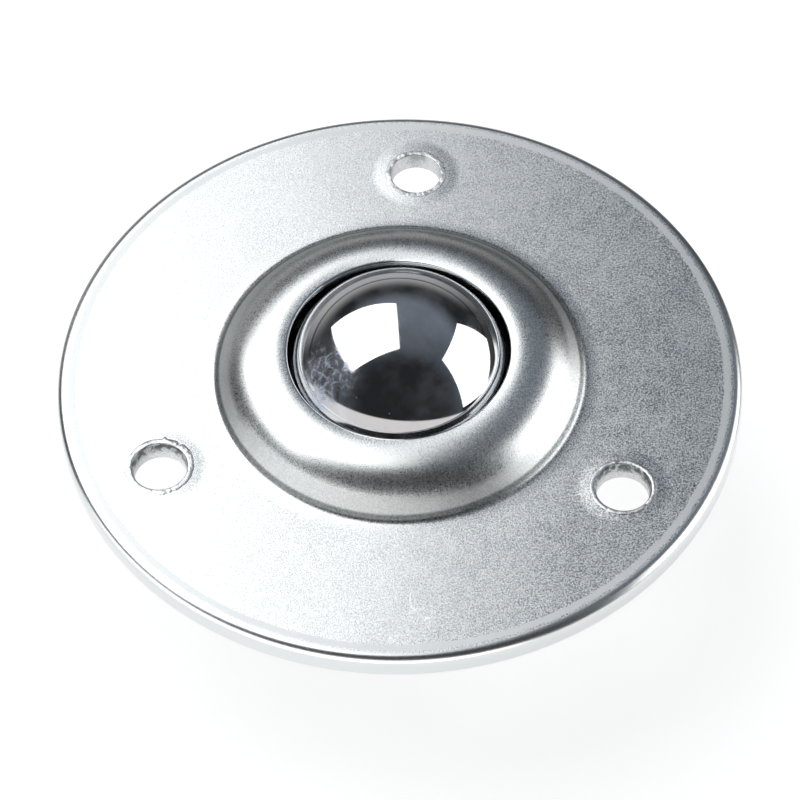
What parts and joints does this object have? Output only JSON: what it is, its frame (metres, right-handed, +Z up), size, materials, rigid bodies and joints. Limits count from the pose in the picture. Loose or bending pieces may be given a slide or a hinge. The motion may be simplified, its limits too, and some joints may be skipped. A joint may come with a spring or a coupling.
{
  "type": "flange ball transfer unit",
  "caption": "Round pressed-steel flange with a low dome that holds a free-rolling polished steel ball on a bed of small balls, with fixing holes for setting into a table.",
  "frame": {"origin": "centre of the fixing hole circle, on the underside of the flange", "axes": "+Z up out of the dome, along the axis of flange and ball; +Y towards one fixing hole"},
  "size_m": [0.0734, 0.0734, 0.0328],
  "materials": {
    "zinc_plate": "zinc plate, satin, finely speckled",
    "hardened_cup": "hardened, ground smooth",
    "polished_ball": "mirror polished, with a few smudges",
    "support_balls": "polished"
  },
  "bodies": {
    "housing": {"top_cover": "zinc_plate", "lower_casing": "zinc_plate", "bearing_cup": "hardened_cup"},
    "ball_bed": {"support_ball_01": "support_balls", "support_ball_02": "support_balls", "support_ball_03": "support_balls", "support_ball_04": "support_balls", "support_ball_05": "support_balls", "support_ball_06": "support_balls", "support_ball_07": "support_balls", "support_ball_08": "support_balls", "support_ball_09": "support_balls", "support_ball_10": "support_balls", "support_ball_11": "support_balls", "support_ball_12": "support_balls", "support_ball_13": "support_balls", "support_ball_14": "support_balls", "support_ball_15": "support_balls", "support_ball_16": "support_balls", "support_ball_17": "support_balls", "support_ball_18": "support_balls", "support_ball_19": "support_balls", "support_ball_20": "support_balls", "support_ball_21": "support_balls", "support_ball_22": "support_balls", "support_ball_23": "support_balls", "support_ball_24": "support_balls", "support_ball_25": "support_balls", "support_ball_26": "support_balls", "support_ball_27": "support_balls", "support_ball_28": "support_balls", "support_ball_29": "support_balls", "support_ball_30": "support_balls", "support_ball_31": "support_balls", "support_ball_32": "support_balls", "support_ball_33": "support_balls", "support_ball_34": "support_balls", "support_ball_35": "support_balls", "support_ball_36": "support_balls", "support_ball_37": "support_balls", "support_ball_38": "support_balls", "support_ball_39": "support_balls", "support_ball_40": "support_balls", "support_ball_41": "support_balls", "support_ball_42": "support_balls", "support_ball_43": "support_balls", "support_ball_44": "support_balls", "support_ball_45": "support_balls", "support_ball_46": "support_balls", "support_ball_47": "support_balls", "support_ball_48": "support_balls", "support_ball_49": "support_balls", "support_ball_50": "support_balls", "support_ball_51": "support_balls", "support_ball_52": "support_balls"},
    "load_ball": {"load_ball": "polished_ball"}
  },
  "joints": [
    {"name": "bed_orbit", "type": "hinge", "parent": "housing", "child": "ball_bed", "pos_m": [0, 0, -0.0002], "axis": [0, 0, 1], "continuous": true},
    {"name": "ball_roll", "type": "hinge", "parent": "ball_bed", "child": "load_ball", "pos_m": [0, 0, -0.0002], "axis": [1, 0, 0], "continuous": true}
  ]
}
